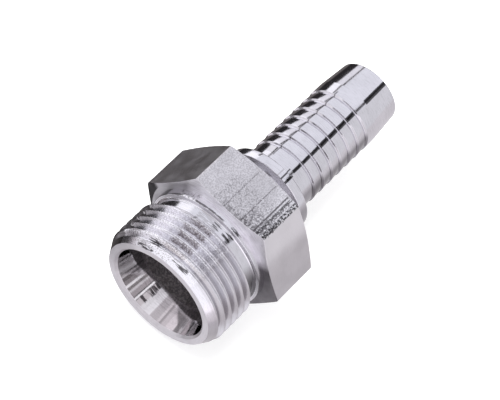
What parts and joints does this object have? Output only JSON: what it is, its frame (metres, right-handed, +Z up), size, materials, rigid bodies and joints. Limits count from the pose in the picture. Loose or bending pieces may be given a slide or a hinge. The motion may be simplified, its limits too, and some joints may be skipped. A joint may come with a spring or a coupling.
{
  "type": "straight hydraulic fitting",
  "caption": "Straight hose fitting: male metric thread with a cone seat and tube socket, a hexagon, a crimp collar and a barbed hose tail on one bored axis.",
  "frame": {"origin": "centre of the thread end's face, on the fitting's axis", "axes": "+X along the axis from the thread end to the hose tail, +Z up, square to the hexagon's top flat"},
  "size_m": [0.07, 0.0366, 0.032],
  "materials": {
    "plated_steel": "bright zinc plate on turned steel, duller and pitted on the drawn hexagon flats"
  },
  "bodies": {
    "root": {"fitting": "plated_steel"}
  },
  "joints": []
}
